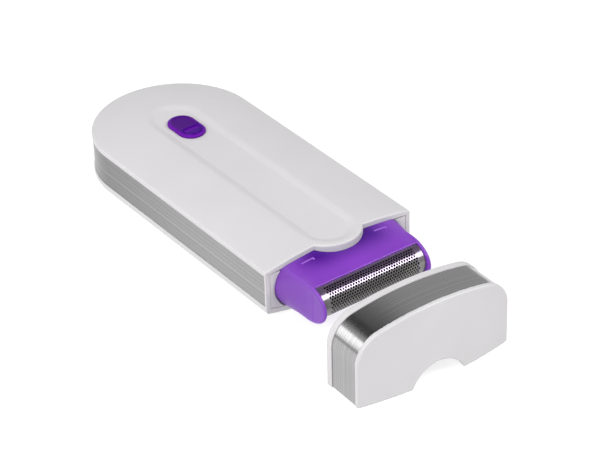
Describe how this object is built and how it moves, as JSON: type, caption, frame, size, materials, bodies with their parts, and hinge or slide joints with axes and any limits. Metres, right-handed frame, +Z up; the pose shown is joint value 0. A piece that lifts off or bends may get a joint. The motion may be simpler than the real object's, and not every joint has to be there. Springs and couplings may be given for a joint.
{
  "type": "foil hair remover",
  "caption": "Flat rechargeable hair remover with a rounded handle, slide switch, oscillating foil head and a separate protective cap.",
  "frame": {"origin": "middle of the flat land under the handle that it rests on, half way along the handle", "axes": "+Z up from the belly to the switch, +Y towards the round tail, -Y towards the foil head, +X to the right seen from the tail, looking at the head"},
  "size_m": [0.0627, 0.1776, 0.0266],
  "materials": {
    "white_plastic": "fine satin",
    "brushed_trim": "brushed lengthwise",
    "head_purple": "translucent satin",
    "button_purple": "satin",
    "foil_steel": "polished, perforated",
    "blade_steel": "ground",
    "black_plastic": "moulded",
    "grey_plastic": "moulded",
    "motor_steel": "zinc plated",
    "shaft_steel": "ground",
    "bronze": "sintered",
    "copper": "enamelled wire",
    "magnet": "ferrite",
    "board_green": "solder mask",
    "cell_wrap": "shrink wrap",
    "nickel": "nickel strip",
    "wire_red": "insulation",
    "screw_steel": "plated"
  },
  "bodies": {
    "handle": {"top_cover": "white_plastic", "bottom_cover": "white_plastic", "side_band": "brushed_trim", "front_bezel": "white_plastic", "cover_screws": "screw_steel", "drive_frame": "black_plastic", "guide_rods": "shaft_steel", "motor_can": "motor_steel", "motor_end_cap": "black_plastic", "motor_bushes": "bronze", "motor_magnets": "magnet", "motor_brushes": "copper", "motor_leads": "wire_red", "battery_cell": "cell_wrap", "battery_tabs": "nickel", "main_board": "board_green", "board_parts": "black_plastic", "switch_housing": "motor_steel", "charge_socket": "nickel"},
    "switch": {"switch_button": "button_purple", "switch_slider": "black_plastic"},
    "rotor": {"motor_shaft": "shaft_steel", "rotor_core": "motor_steel", "rotor_windings": "copper", "commutator": "copper", "drive_eccentric": "grey_plastic"},
    "oscillator": {"drive_bridge": "grey_plastic", "cutter_carrier": "black_plastic", "cutter_blades": "blade_steel", "cutter_springs": "shaft_steel"},
    "foil_head": {"head_shell": "head_purple", "foil_sheet": "foil_steel", "foil_frame": "grey_plastic"},
    "cap": {"cap_top_plate": "white_plastic", "cap_band": "brushed_trim", "cap_shell": "white_plastic", "cap_grips": "grey_plastic"}
  },
  "joints": [
    {"name": "switch_slide", "type": "slide", "parent": "handle", "child": "switch", "axis": [0, -1, 0], "range_m": [0, 0.003]},
    {"name": "rotor_spin", "type": "hinge", "parent": "handle", "child": "rotor", "pos_m": [0, -0.03, 0.0116], "axis": [0, 1, 0], "continuous": true},
    {"name": "cutter_stroke", "type": "slide", "parent": "handle", "child": "oscillator", "axis": [1, 0, 0], "range_m": [-0.0006, 0.0006]},
    {"name": "head_release", "type": "slide", "parent": "handle", "child": "foil_head", "axis": [0, -1, 0], "range_m": [0, 0.01]},
    {"name": "cap_lift", "type": "slide", "parent": "handle", "child": "cap", "axis": [0, 0, 1], "range_m": [0, 0.06]}
  ]
}
